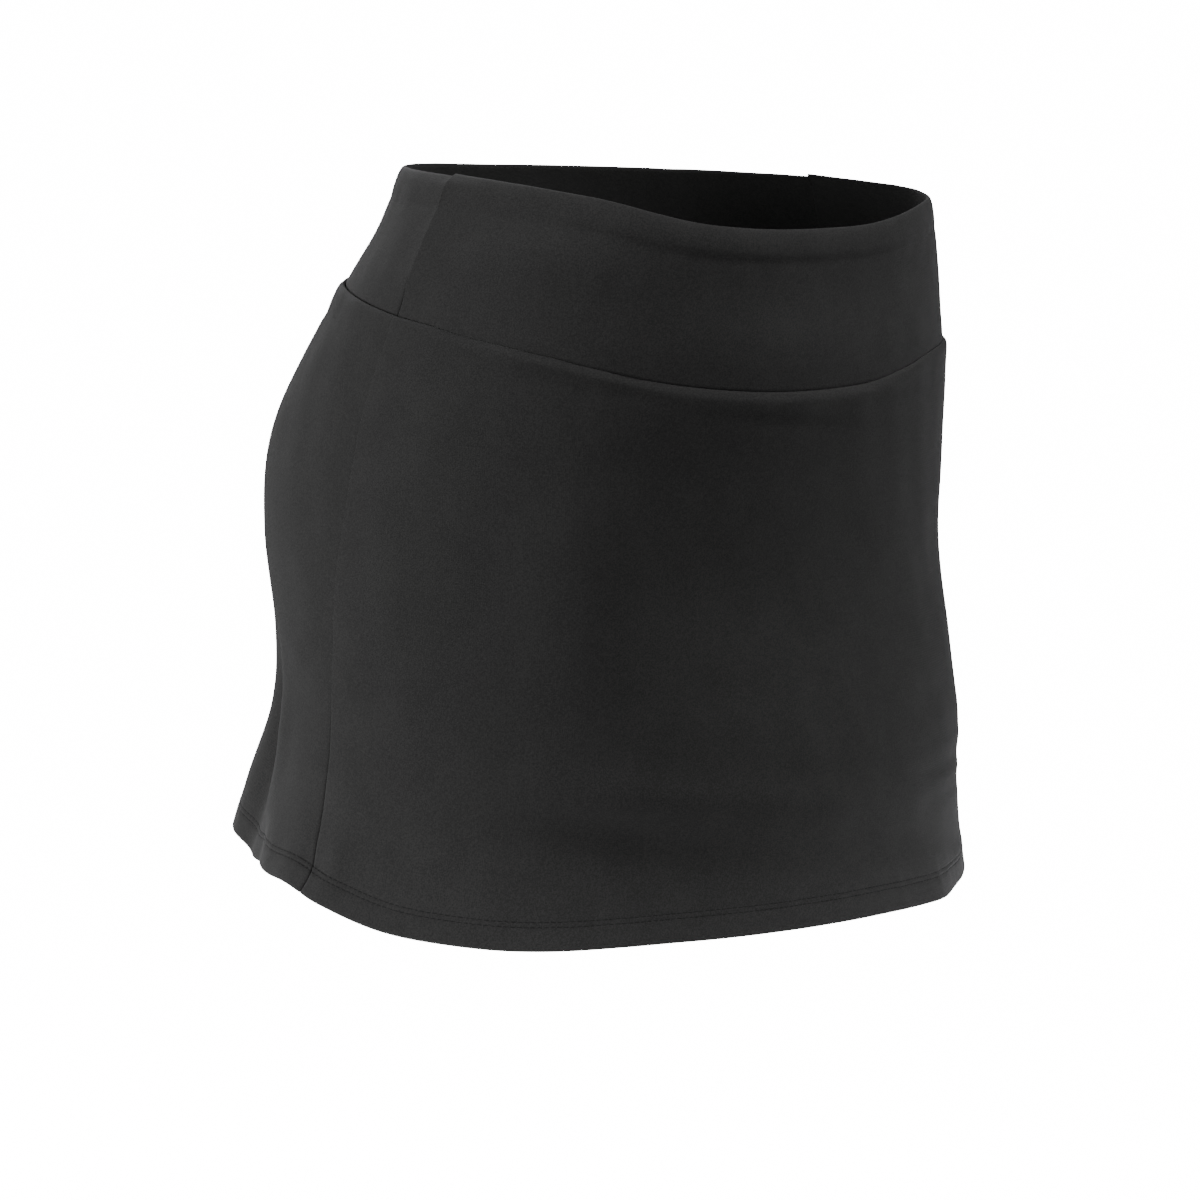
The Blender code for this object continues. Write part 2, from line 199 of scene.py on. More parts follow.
def smooth(stations, values, at):
    """Values read from one smooth curve through all the stations, which rise."""
    at = np.clip(at, stations[0], stations[-1])
    slopes = np.gradient(values, stations)
    low = np.clip(np.searchsorted(stations, at, side="right") - 1, 0, len(stations) - 2)
    span = stations[low + 1] - stations[low]
    t = (at - stations[low]) / span
    rise = 3 * t ** 2 - 2 * t ** 3
    bend_low = (t ** 3 - 2 * t ** 2 + t) * span * slopes[low]
    bend_high = (t ** 3 - t ** 2) * span * slopes[low + 1]
    return values[low] * (1 - rise) + values[low + 1] * rise + bend_low + bend_high


def section(name, height):
    """A measure of the garment's body at a height."""
    return smooth(column(SECTIONS, "height"), column(SECTIONS, name), height)


def edge(name, angle):
    """The height of the rim, the waist seam or the hem at an angle, the same after a full turn."""
    angles = column(EDGES, "angle")
    stations = np.concatenate([angles - 360, angles, angles + 360])
    return smooth(stations, np.tile(column(EDGES, name), 3), angle)


def off(angle, centre):
    """How many degrees an angle is from a centre, the short way round."""
    return (angle - centre + 180) % 360 - 180


def waist_seam_height(angle):
    return edge("waist_seam", angle)


def hem_height(angle):
    height = edge("hem", angle)
    for wave in HEM_WAVES:
        height = height + wave.rise * np.exp(-(off(angle, wave.angle) / wave.spread) ** 2)
    return height


def side_angle(height):
    return smooth(column(SIDE_SEAM, "height"), column(SIDE_SEAM, "angle"), height)


def signed_power(value, power):
    return np.sign(value) * np.abs(value) ** power


def body(angle, height):
    """A point of the garment's body, with no folds."""
    angle, height = np.broadcast_arrays(angle, height)
    ahead = np.cos(np.radians(angle))
    aside = np.sin(np.radians(angle))
    in_front = ahead > 0
    square = np.where(in_front, section("front_square", height), section("back_square", height))
    depth = np.where(in_front, section("front_depth", height), section("back_depth", height))
    x = -section("half_width", height) * signed_power(aside, 2 / square)
    y = section("centre", height) - depth * signed_power(ahead, 2 / square)
    return np.stack([x, y, height], axis=-1)


def ease(share):
    share = np.clip(share, 0, 1)
    return share ** 2 * (3 - 2 * share)


def skirt(angle, height):
    """A point of the skirt: the body with its folds."""
    push = np.zeros(np.broadcast(angle, height).shape)
    for fold in FOLDS:
        opened = ease((fold.starts - height) / FOLD_RUN)
        fully_open = fold.starts - FOLD_RUN
        kept = 1 - (1 - fold.at_hem) * ease((fully_open - height) / (fully_open - FOLD_END))
        away = off(angle, fold.angle + fold.lean * opened)
        push = push + fold.push * opened * kept * np.exp(-(away / fold.spread) ** 2)
    turn = np.radians(angle)
    outward = np.stack(np.broadcast_arrays(-np.sin(turn) * push, -np.cos(turn) * push, 0 * push), axis=-1)
    return body(angle, height) + outward


STEP_ROUND = 0.2             # degrees to the neighbouring points that a direction is worked out from
STEP_UP = 0.0005             # and metres, up and down


def normals(surface, around, height, step=STEP_ROUND):
    """The outward directions of a surface at some of its points."""
    along = surface(around + step, height) - surface(around - step, height)
    upward = surface(around, height + STEP_UP) - surface(around, height - STEP_UP)
    normal = np.cross(upward, along)
    return normal / np.linalg.norm(normal, axis=-1, keepdims=True)


def crease_push(table, angle, height):
    """How far the soft creases of a table push the cloth out."""
    push = np.zeros(np.broadcast(angle, height).shape)
    for crease in table:
        away = off(angle, crease.angle)
        rise = height - crease.height - crease.tilt * away
        push += crease.push * np.exp(-(away / crease.reach) ** 2 - (rise / crease.spread) ** 2)
    return push


def uneven(angle, height, seed, swell):
    """Faint swells and hollows all over a worn cloth, 4 to 13 cm tall and the same after a full turn."""
    chance = np.random.default_rng(seed)
    push = np.zeros(np.broadcast(angle, height).shape)
    for turns in (5, 7, 9, 12, 14, 17, 21, 26, 31, 37):
        tall = chance.uniform(0.04, 0.13) * chance.choice((-1, 1))
        lead = chance.uniform(0, 2 * math.pi)
        push += swell * np.sin(np.radians(angle) * turns + height * 2 * math.pi / tall + lead)
    return push


# The ripple of a seam is strongest at its middle, a distance from the cloth's edge, and fades as it spreads.
Ripple = namedtuple("Ripple", "seed counts push middle spread")


def pucker(share, ripple):
    """How far an uneven ripple pushes a seam out. Each count is a number of waves in a share of one."""
    chance = np.random.default_rng(ripple.seed)
    waves = 0
    for count in ripple.counts:
        waves = waves + np.sin(share * 2 * math.pi * count + chance.uniform(0, 2 * math.pi))
    return ripple.push * (waves / len(ripple.counts))


def faded(distance, ripple):
    """The share of a ripple that is left at a distance from the edge."""
    return np.exp(-((distance - ripple.middle) / ripple.spread) ** 2)


def side_pucker(angle, height, from_side, ripples):
    """The ripple along the side seams, a different one on either side."""
    ripple = np.where(off(angle, 0) > 0, pucker(height, ripples[0]), pucker(height, ripples[1]))
    return ripple * faded(from_side, ripples[0])


def rounded(distance, radius, left):
    """The share of a wall's thickness near its edge, where it is rounded down to the share that is left."""
    share = np.clip(1 - distance / radius, 0, 1)
    return np.sqrt(1 - (1 - left ** 2) * share ** 2)


def run_along(points):
    """How far along a line each of its points is."""
    return np.concatenate([[0], np.cumsum(np.linalg.norm(np.diff(points, axis=0), axis=1))])


EDGE_STEPS = (0.0, 0.00012, 0.0003, 0.0006, 0.0010, 0.0015, 0.0022, 0.0032, 0.0048)
MID_HEIGHT = -0.18           # the columns of a panel are even at this height
TRIED = 1441                 # points tried along it to make them so


def panel_grid(surface, upper, lower, front, top_steps, middle_rows, bottom_steps, columns):
    """The angles and heights of a panel's points, and how far each is from the panel's edges.

    Rows stand close together near the top and the bottom, and columns near the side seams."""
    levels = [(0, -step) for step in top_steps]
    for share in np.linspace(0, 1, middle_rows + 2)[1:-1]:
        levels.append((share, -top_steps[-1] * (1 - share) + bottom_steps[-1] * share))
    levels += [(1, step) for step in reversed(bottom_steps)]
    first, last = (-SIDE_LINE, SIDE_LINE) if front else (SIDE_LINE, 360 - SIDE_LINE)
    tried = np.linspace(first, last, TRIED)
    run = run_along(surface(tried, np.full(tried.shape, MID_HEIGHT)))
    even = (np.interp(np.linspace(0, run[-1], columns), run, tried) - first) / (last - first)
    angles, heights, from_side = [], [], []
    for share, shift in levels:
        level = upper(SIDE_LINE) * (1 - share) + lower(SIDE_LINE) * share + shift
        side = float(side_angle(level))
        chord = surface(side + STEP_ROUND, level) - surface(side - STEP_ROUND, level)
        degree = np.linalg.norm(chord) / (2 * STEP_ROUND)
        past = SEAM_OVERLAP / degree
        start, end = (-side - past, side + past) if front else (side - past, 360 - side + past)
        steps = np.array(EDGE_STEPS) / degree
        inner = start + steps[-1] + (end - start - 2 * steps[-1]) * even
        row = np.concatenate([start + steps[:-1], inner, end - steps[-2::-1]])
        angles.append(row)
        heights.append(upper(row) * (1 - share) + lower(row) * share + shift)
        from_side.append(np.minimum(row - start, end - row) * degree)
    angles, heights = np.array(angles), np.array(heights)
    return angles, heights, upper(angles) - heights, heights - lower(angles), np.array(from_side)


def cloth_wall(name, outer, inner, face, back):
    """A wall of cloth between an outer and an inner grid of points, with its cut laid flat as its UV map."""
    rows, lines = outer.shape[:2]
    count = rows * lines
    corner = (np.arange(rows - 1)[:, None] * lines + np.arange(lines - 1)).ravel()
    quads = np.stack([corner, corner + 1, corner + lines + 1, corner + lines], axis=1)
    top, right = np.arange(lines), np.arange(2, rows) * lines - 1
    bottom, left = (rows - 1) * lines + np.arange(lines - 1, -1, -1), np.arange(rows - 2, 0, -1) * lines
    outline = np.concatenate([top, right, bottom, left])
    ahead = np.roll(outline, -1)
    closing = np.stack([ahead, outline, outline + count, ahead + count], axis=1)
    faces = np.concatenate([quads, closing, quads[:, ::-1] + count])
    mesh = bpy.data.meshes.new(name)
    points = np.concatenate([outer.reshape(-1, 3), inner.reshape(-1, 3)])
    mesh.from_pydata(points.tolist(), [], faces.tolist())
    mesh.materials.append(face)
    mesh.materials.append(back)
    sides = np.zeros(len(faces), np.int32)
    sides[len(quads) + len(closing):] = 1
    mesh.polygons.foreach_set("material_index", sides)
    across = np.linalg.norm(np.diff(outer, axis=1), axis=-1)
    across = np.concatenate([np.zeros((rows, 1)), np.cumsum(across, axis=1)], axis=1)
    across -= across[:, lines // 2:lines // 2 + 1]
    down = np.linalg.norm(np.diff(outer, axis=0), axis=-1)
    down = np.concatenate([np.zeros((1, lines)), np.cumsum(down, axis=0)], axis=0)
    laid = np.tile(np.stack([across, down[-1:] - down], axis=-1).reshape(-1, 2), (2, 1))
    mesh.uv_layers.new(name="cut")
    mesh.uv_layers["cut"].data.foreach_set("uv", laid[faces.ravel()].astype(np.float32).ravel())
    a, b, c, d = (points[faces[:, i]] for i in range(4))
    volume = np.einsum("ij,ij->", a, np.cross(b, c)) + np.einsum("ij,ij->", a, np.cross(c, d))
    if volume < 0:           # the faces look into the cloth
        mesh.flip_normals()
    mesh.shade_smooth()
    mesh.update()
    piece = bpy.data.objects.new(name, mesh)
    bpy.context.scene.collection.objects.link(piece)
    return piece


class Reading:
    """A number that varies over the cloth. What is worked out from it becomes Math nodes."""

    def __init__(self, finish, socket):
        self.finish = finish
        self.socket = socket

    def joined(self, operation, *values):
        return self.finish.add("ShaderNodeMath", {"operation": operation}, dict(enumerate(values)))["Value"]

    def __add__(self, other):
        return self.joined("ADD", self, other)

    __radd__ = __add__

    def __mul__(self, other):
        return self.joined("MULTIPLY", self, other)

    def sine(self):
        return self.joined("SINE", self)


class Finish:
    """One material: a Principled shader and the nodes that feed it."""

    def __init__(self, name, **constants):
        self.material = bpy.data.materials.new(name)
        self.material.use_nodes = True
        self.tree = self.material.node_tree
        self.shader = self.tree.nodes["Principled BSDF"]
        for label, value in constants.items():
            self.shader.inputs[label.replace("_", " ")].default_value = value

    def add(self, kind, settings, values):
        """A node with its settings made first, then the values or links of its sockets."""
        node = self.tree.nodes.new(kind)
        for label, value in settings.items():
            setattr(node, label, value)
        for label, value in values.items():
            if isinstance(value, Reading):
                self.tree.links.new(value.socket, node.inputs[label])
            else:
                node.inputs[label].default_value = value
        return {socket.name: Reading(self, socket) for socket in node.outputs if socket.enabled}

    def drive(self, label, reading):
        """Let a reading set one of the shader's sockets."""
        self.tree.links.new(reading.socket, self.shader.inputs[label])

    def noise(self, scale, detail):
        """Noise that stays with the object. A larger scale is a finer noise."""
        place = self.add("ShaderNodeTexCoord", {}, {})["Object"]
        return self.add("ShaderNodeTexNoise", {}, {"Vector": place, "Scale": scale, "Detail": detail})["Fac"]

    def blend(self, share, *stops):
        """A colour between two, each given with the share at which it is reached."""
        node = self.tree.nodes.new("ShaderNodeValToRGB")
        for stop, (place, colour) in zip(node.color_ramp.elements, stops):
            stop.position, stop.color = place, (*colour, 1)
        self.tree.links.new(share.socket, node.inputs["Fac"])
        return Reading(self, node.outputs["Color"])


RIB_PITCH = 0.00085
LOOP_PITCH = 0.0011
FUZZ_SCALE, FLECK_SCALE, CLOUD_SCALE = 1500.0, 640.0, 60.0


def knit(name, dark, light, nap, sheen):
    """Double knit: fine ribs that follow the cut, a nap that blurs them and a faint cloudiness."""
    finish = Finish(name, Roughness=0.9, Specular_IOR_Level=0.20, Sheen_Weight=sheen, Sheen_Roughness=0.45,
                    Sheen_Tint=(0.80, 0.80, 0.83, 1.0))
    cut = finish.add("ShaderNodeUVMap", {"uv_map": "cut"}, {})["UV"]
    split = finish.add("ShaderNodeSeparateXYZ", {}, {"Vector": cut})
    rib = (split["X"] * (2 * math.pi / RIB_PITCH)).sine()
    loop = (split["Y"] * (2 * math.pi / LOOP_PITCH)).sine()
    fuzz, fleck = finish.noise(FUZZ_SCALE, 2.0), finish.noise(FLECK_SCALE, 2.0)
    cloud = finish.noise(CLOUD_SCALE, 3.0)
    shade = cloud * 0.14 + fleck * 0.16 + fuzz * 0.70
    finish.drive("Base Color", finish.blend(shade, (0.40, dark), (0.60, light)))
    finish.drive("Roughness", 0.82 + fuzz * 0.16)
    height = fuzz * nap + fleck * nap * 0.4 + rib * 0.10 + loop * 0.07
    bump = finish.add("ShaderNodeBump", {}, {"Strength": 0.35, "Distance": 0.00035, "Height": height})
    finish.drive("Normal", bump["Normal"])
    return finish.material


outer_face = knit("charcoal_knit_face", (0.0175, 0.0175, 0.0175), (0.0295, 0.0293, 0.0290), 0.9, 0.10)
# The back of the knit has less nap and sheen than its face. Its darker colour is painted shade for the inside
# of the skirt and the waistband.
back_knit_with_painted_shade = knit("charcoal_knit_back_painted_shade", (0.0130, 0.0130, 0.0127), (0.0190, 0.0189, 0.0184), 0.5, 0.05)

HEM_DEPTH = 0.0125           # the upper of the two needle lines is this far above the hem
NEEDLE_GAP = 0.0022          # between the two needle lines
SKIRT_TOP_STEPS = (0.0, 0.0002, 0.0005, 0.0009, 0.0014, 0.0022, 0.0032, 0.0045, 0.006, 0.008, 0.010, 0.012,
                   0.014, 0.016, 0.018, 0.020, 0.0225, 0.025, 0.028)
SKIRT_BOTTOM_STEPS = (0.0, 0.0002, 0.0005, 0.0009, 0.0015, 0.0025, 0.004, 0.0055, 0.007, 0.0085, 0.0097,
                      0.0103, 0.0108, 0.0114, 0.0120, 0.0125, 0.0130, 0.0138, 0.015, 0.017, 0.0195, 0.022)
Roll = namedtuple("Roll", "drop outer inner")
SKIRT_ROLL = (
    Roll(0.000, 0.0014, -0.0006),
    Roll(0.002, 0.0019, -0.0010),
    Roll(0.004, 0.0019, -0.0011),
    Roll(0.007, 0.0016, -0.0011),
    Roll(0.012, 0.0010, -0.0010),
    Roll(0.020, 0.0005, -0.0008),
    Roll(0.035, 0.0001, -0.0011),
    Roll(0.060, 0.0000, -0.0012),
)

RIGHT_FRONT = 38             # the middle of the front and the wearer's right, where the edges roll and flare
LIP_IN = 0.0019              # there the rolled top edge leans in this far
LIP_TALL = 0.0045            # over this height
LIP_REACH, LIP_FADE = 56, 12

# The hem flares all round, and more at the right front. Each flare begins this tall over the hem's edge.
Flare = namedtuple("Flare", "all_round right_front tall power")
FLARES = (
    Flare(0.0016, 0.0042, 0.036, 1.3),
    Flare(0.0, 0.0022, HEM_DEPTH, 1.0),
)
FLARE_REACH, FLARE_FADE = 72, 18

HEM_TOP, HEM_STEP = 0.0140, 0.0016           # where the turned-up cloth ends, and how softly
HEM_OUT, HEM_IN = 0.00018, 0.00090           # how much thicker it makes the hem, outside and inside
HEM_RIPPLE = Ripple(3, (119, 85, 63, 45, 30), 0.00032, 0.010, 0.012)
TOP_RIPPLE = Ripple(5, (78, 56, 38, 26), 0.00014, 0.010, 0.008)
SIDE_RIPPLES = (
    Ripple(8, (91, 59, 37, 23), 0.00020, 0.0, 0.009),
    Ripple(9, (91, 59, 37, 23), 0.00020, 0.0, 0.009),
)
NEEDLE_DENT, DENT_SPREAD = 0.00030, 0.0006   # how deep and how wide the stitches press in
DRAWN_FROM, DRAWN_RUN = -0.225, 0.065        # the side seams draw the cloth in more from here down
DRAWN_LEAST = 0.04
SEAM_HOLLOW = 0.0004         # the cloth sinks this far beside a side seam, twice as far where it is drawn in
HOLLOW_FRONT, HOLLOW_BACK = 0.0050, 0.0100   # how wide that is, in front of the seam and behind it
HOLLOW_TOP = 0.012           # from here up it fades out


def needle_dents(from_bottom):
    """The dents that two rows of stitches press into the hem."""
    dent = np.exp(-((from_bottom - HEM_DEPTH) / DENT_SPREAD) ** 2)
    return dent + np.exp(-((from_bottom - HEM_DEPTH + NEEDLE_GAP) / DENT_SPREAD) ** 2)


def at_right_front(angle, reach, fade):
    """1 over the front and the wearer's right, and 0 beyond the reach."""
    return ease((reach - np.abs(off(angle, RIGHT_FRONT))) / fade)


def rolled(table, face, drop):
    """How far a face of the cloth is rolled out at a distance from its edge."""
    return smooth(column(table, "drop"), column(table, face), drop)


def skirt_faces(angle, height, from_top, from_bottom, from_side):
    """How far the two faces of the skirt's cloth stand off the skirt's surface."""
    outer = rolled(SKIRT_ROLL, "outer", from_top)
    inner = rolled(SKIRT_ROLL, "inner", from_top)
    lip = LIP_IN * at_right_front(angle, LIP_REACH, LIP_FADE) * np.clip(1 - from_top / LIP_TALL, 0, 1)
    outer, inner = outer - lip, inner - lip
    doubled = ease((HEM_TOP - from_bottom) / HEM_STEP)
    outer = outer + HEM_OUT * doubled - NEEDLE_DENT * needle_dents(from_bottom)
    inner = inner - HEM_IN * doubled
    # creases, and the ripples along the hem, the top edge and the side seams
    move = crease_push(BODY_FORMS, angle, height) + crease_push(SKIRT_CREASES, angle, height)
    move = move + uneven(angle, height, seed=11, swell=0.00006)
    in_hem = ease(1.0 - np.abs(from_bottom - HEM_RIPPLE.middle) / HEM_RIPPLE.spread)
    move = move + pucker(angle / 360, HEM_RIPPLE) * in_hem
    move = move + pucker(angle / 360, TOP_RIPPLE) * faded(from_top, TOP_RIPPLE)
    move = move + side_pucker(angle, height, from_side, SIDE_RIPPLES)
    ahead = at_right_front(angle, FLARE_REACH, FLARE_FADE)
    for flare in FLARES:
        share = np.clip(1 - from_bottom / flare.tall, 0, 1) ** flare.power
        move = move + (flare.all_round + flare.right_front * ahead) * share
    drawn = DRAWN_LEAST + (1 - DRAWN_LEAST) * ease((DRAWN_FROM - height) / DRAWN_RUN)
    behind = np.abs(off(angle, 0)) > side_angle(height)
    hollow = np.exp(-from_side / np.where(behind, HOLLOW_BACK, HOLLOW_FRONT))
    move = move - SEAM_HOLLOW * (1 + drawn) * hollow * ease(from_top / HOLLOW_TOP)
    return sewn_edges(outer + move, inner + move, from_top, from_bottom, from_side, drawn)


TOP_ROUND, FOOT_ROUND, SIDE_ROUND = 0.0011, 0.0012, 0.0007   # how far in from its edges a wall is rounded
EDGE_LEFT = 0.14             # a rounded edge keeps this share of the wall's thickness
SIDE_EDGE_LEFT = 0.99        # at a side seam it keeps nearly all of it,
SIDE_EDGE_DRAWN = 0.58       # and this much less where the seam is drawn in
SEAM_SINK, SINK_WIDE = 0.0005, 0.0020        # and there both faces sink, the inner one by a smaller share
INNER_SINK = 0.6


def sewn_edges(outer, inner, from_top, from_bottom, from_side, drawn):
    """Round a wall's faces in at its edges, and sink it at its side seams as far as they are drawn in."""
    middle = (outer + inner) / 2
    thick = (outer - inner) / 2
    thick = thick * rounded(from_top, TOP_ROUND, EDGE_LEFT) * rounded(from_bottom, FOOT_ROUND, EDGE_LEFT)
    thick = thick * rounded(from_side, SIDE_ROUND, SIDE_EDGE_LEFT - SIDE_EDGE_DRAWN * drawn)
    sink = SEAM_SINK * drawn * np.clip(1 - from_side / SINK_WIDE, 0, 1) ** 2
    return middle + thick - sink, middle - thick - sink * INNER_SINK


def sewn_panel(name, surface, faces, upper, lower, front, top_steps, middle_rows, bottom_steps, columns):
    """One panel of the skirt or the waistband, from its side seam round to the other."""
    grid = panel_grid(surface, upper, lower, front, top_steps, middle_rows, bottom_steps, columns)
    angle, height = grid[:2]
    outer, inner = faces(*grid)
    place, normal = surface(angle, height), normals(surface, angle, height)
    return cloth_wall(name, place + normal * outer[..., None], place + normal * inner[..., None],
                      outer_face, back_knit_with_painted_shade)


SKIRT_ROWS, SKIRT_COLUMNS = 84, 210
for name, front, flat, area in (("skirt_front_cloth", True, (0.600, 0.285), 0.148),
                                ("skirt_back_cloth", False, (0.555, 0.300), 0.145)):
    piece = sewn_panel(name, skirt, skirt_faces, waist_seam_height, hem_height, front,
                       SKIRT_TOP_STEPS, SKIRT_ROWS, SKIRT_BOTTOM_STEPS, SKIRT_COLUMNS)
    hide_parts(name.replace("_cloth", ""))
    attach(piece, "root")


# ---- The hem's stitches -----------------------------------------------------------------------------
# Black sewing thread. Two needle rows show on the face, and inside the hem a looper thread crosses from one
# row to the other. Each stitch is a short bead of thread that sinks into the knit at both ends.

STITCH_PITCH = 0.0029
THREAD = 0.00034
THREAD_FLAT = 0.8            # a stitch is pulled this flat
STITCH_SHOWS = 0.92          # the share of its pitch that a stitch covers
NEEDLE_PROUD = 0.00002       # the middle of a stitch over the cloth, outside
LOOPER_PROUD = 0.00008       # and inside
FROM_SIDES = 0.05            # stitches run on over the side seams, as if these were far away
HEM_TRIED = 3601             # points tried round the hem to space the stitches
TWIST_PAINTED_SHADE = 0.6            # the thread is this share of its colour in fine random patches, painted shade between the strands of its twist


def bead(length, width):
    """The points and faces of one stitch, modelled once and laid along a seam many times."""
    bpy.ops.object.select_all(action="DESELECT")
    bpy.ops.mesh.primitive_uv_sphere_add(segments=6, ring_count=5, radius=0.5, rotation=(0, math.pi / 2, 0))
    stitch = bpy.context.active_object
    bpy.ops.object.transform_apply(location=True, rotation=True, scale=True)
    bpy.ops.object.mode_set(mode="EDIT")
    bpy.ops.mesh.select_all(action="SELECT")
    bpy.ops.transform.resize(value=(length, width, width))
    bpy.ops.mesh.normals_make_consistent(inside=False)
    bpy.ops.object.mode_set(mode="OBJECT")
    points = np.array([vertex.co[:] for vertex in stitch.data.vertices])
    faces = [tuple(polygon.vertices) for polygon in stitch.data.polygons]
    bpy.data.objects.remove(stitch, do_unlink=True)
    return points, faces


def laid_beads(name, shape, starts, ends, outward, finish):
    """One mesh of stitches, each laid from a start to an end with its flat side on the cloth."""
    points, faces = shape
    along = ends - starts
    along = along / np.linalg.norm(along, axis=-1, keepdims=True)
    across = np.cross(outward, along)
    across = across / np.linalg.norm(across, axis=-1, keepdims=True)
    upward = np.cross(along, across)
    turned = np.stack([along, across, upward], axis=1)
    placed = np.einsum("pi,sij->spj", points, turned) + ((starts + ends) / 2)[:, None, :]
    mesh = bpy.data.meshes.new(name)
    shifted = [tuple(index + number * len(points) for index in face)
               for number in range(len(starts)) for face in faces]
    mesh.from_pydata(placed.reshape(-1, 3).tolist(), [], shifted)
    mesh.materials.append(finish)
    mesh.shade_smooth()
    piece = bpy.data.objects.new(name, mesh)
    bpy.context.scene.collection.objects.link(piece)
    return piece


def even_angles(surface, level, first, last, pitch):
    """Angles whose places along an edge are one pitch apart."""
    tried = np.linspace(first, last, HEM_TRIED)
    run = run_along(surface(tried, level(tried)))
    return np.interp(np.arange(0, run[-1], pitch), run, tried)


def on_skirt(angle, above_hem, proud, outside=True):
    """Places this far above the hem on the skirt's face or inside it, proud of the cloth, and the way out."""
    height = hem_height(angle) + above_hem
    from_top = waist_seam_height(angle) - height
    from_bottom, from_side = np.full(angle.shape, above_hem), np.full(angle.shape, FROM_SIDES)
    outer, inner = skirt_faces(angle, height, from_top, from_bottom, from_side)
    away = outer + proud if outside else inner - proud
    normal = normals(skirt, angle, height)
    return skirt(angle, height) + normal * away[:, None], normal if outside else -normal


def sewing_thread(name, colour):
    """Spun thread: dark, a little glossy, with a fine twist along it, whose shade between the strands is
    painted as darker patches.
    """
    finish = Finish(name, Roughness=0.7, Specular_IOR_Level=0.2)
    twist = finish.noise(2500.0, 1.0)
    # the darker end of the ramp is painted shade between the strands
    dark = tuple(TWIST_PAINTED_SHADE * part for part in colour)
    finish.drive("Base Color", finish.blend(twist, (0.3, dark), (0.7, colour)))
    finish.drive("Roughness", 0.65 + twist * 0.2)
    return finish.material


black_thread = sewing_thread("black_thread", (0.0045, 0.0045, 0.0048))
stitch_shape = bead(STITCH_SHOWS, 1.0)
needle_rows = []
for above_hem in (HEM_DEPTH, HEM_DEPTH - NEEDLE_GAP):
    angles = even_angles(skirt, hem_height, 0.0, 360.0, STITCH_PITCH)[:-1]
    spots, outward = on_skirt(angles, above_hem, NEEDLE_PROUD)
    needle_rows.append((spots, np.roll(spots, -1, axis=0), outward))
starts, ends, outward = (np.concatenate(part) for part in zip(*needle_rows))
thread_bead = (stitch_shape[0] * np.array([STITCH_PITCH, THREAD, THREAD * THREAD_FLAT]), stitch_shape[1])
hem_stitches = laid_beads("hem_stitches", thread_bead, starts, ends, outward, black_thread)

angles = even_angles(skirt, hem_height, 0.0, 360.0, STITCH_PITCH / 2)[:-1]
upper, outward = on_skirt(angles, HEM_DEPTH, LOOPER_PROUD, outside=False)
lower, _ = on_skirt(angles, HEM_DEPTH - NEEDLE_GAP, LOOPER_PROUD, outside=False)
zigzag = np.where((np.arange(len(angles)) % 2 == 0)[:, None], upper, lower)
crossing = math.hypot(STITCH_PITCH / 2, NEEDLE_GAP)
looper_bead = (stitch_shape[0] * np.array([crossing, THREAD, THREAD * THREAD_FLAT]), stitch_shape[1])
hem_loopers = laid_beads("hem_loopers", looper_bead, zigzag[:-1], zigzag[1:], outward[:-1], black_thread)

for piece in (hem_stitches, hem_loopers):
    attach(piece, "root")


# ---- The waistband ----------------------------------------------------------------------------------
# A wide band of the same knit, double, with a narrow elastic in a casing along the rim. It is cut as a front
# and a back with a seam at each side, and its lower edge runs behind the skirt's rolled top edge.

FRONT_BAND_RISE = 0.0012     # the front stands this much over the back at the side seams
BAND_BEHIND = 0.0100         # the band runs on behind the skirt's top edge
BAND_TOP_STEPS = (0.0, 0.0002, 0.0005, 0.0009, 0.0014, 0.0020, 0.0030, 0.0042, 0.0056, 0.0072, 0.009, 0.0105,
                  0.0118, 0.0130, 0.0140, 0.0148, 0.0156, 0.0165, 0.0175, 0.019, 0.021, 0.0235, 0.0265)
BAND_BOTTOM_STEPS = (0.0, 0.0003, 0.0009, 0.003, 0.006, 0.008, 0.0088, 0.0094, 0.0100, 0.0106, 0.0112, 0.0120,
                     0.0132, 0.015, 0.017, 0.0195, 0.0225, 0.026)
BAND_ROLL = (
    Roll(0.0000, 0.0003, -0.0013),
    Roll(0.0015, 0.0009, -0.0016),
    Roll(0.0040, 0.0012, -0.0017),
    Roll(0.0080, 0.0011, -0.0017),
    Roll(0.0115, 0.0008, -0.0018),
    Roll(0.0148, 0.0003, -0.0018),
    Roll(0.0180, 0.0003, -0.0019),
    Roll(0.0250, 0.0001, -0.0020),
    Roll(0.0400, 0.0000, -0.0021),
)
BAND_MIDDLE = -0.0021        # the inner face in the middle of the band, where both its tables end
RIM_LEAN = (                 # the rim leans in more over the front
    Roll(0.0000, -0.0010, 0.0),
    Roll(0.0040, -0.0002, 0.0),
    Roll(0.0085, 0.0006, 0.0),
    Roll(0.0115, 0.0008, 0.0),
    Roll(0.0150, 0.0001, 0.0),
    Roll(0.0190, 0.0000, 0.0),
)
LEAN_CENTRE, LEAN_REACH = 28, 34             # degrees
BAND_TUCK = (
    Roll(-0.0100, -0.0018, -0.0038),
    Roll(-0.0030, -0.0018, -0.0038),
    Roll(-0.0012, -0.0015, -0.0037),
    Roll(-0.0004, -0.0007, -0.0035),
    Roll(0.0004, -0.0002, -0.0034),
    Roll(0.0015, -0.0001, -0.0033),
    Roll(0.0040, 0.0000, -0.0028),
    Roll(0.0080, 0.0000, -0.0026),
    Roll(0.0200, 0.0000, -0.0023),
    Roll(0.0350, 0.0000, -0.0021),
)
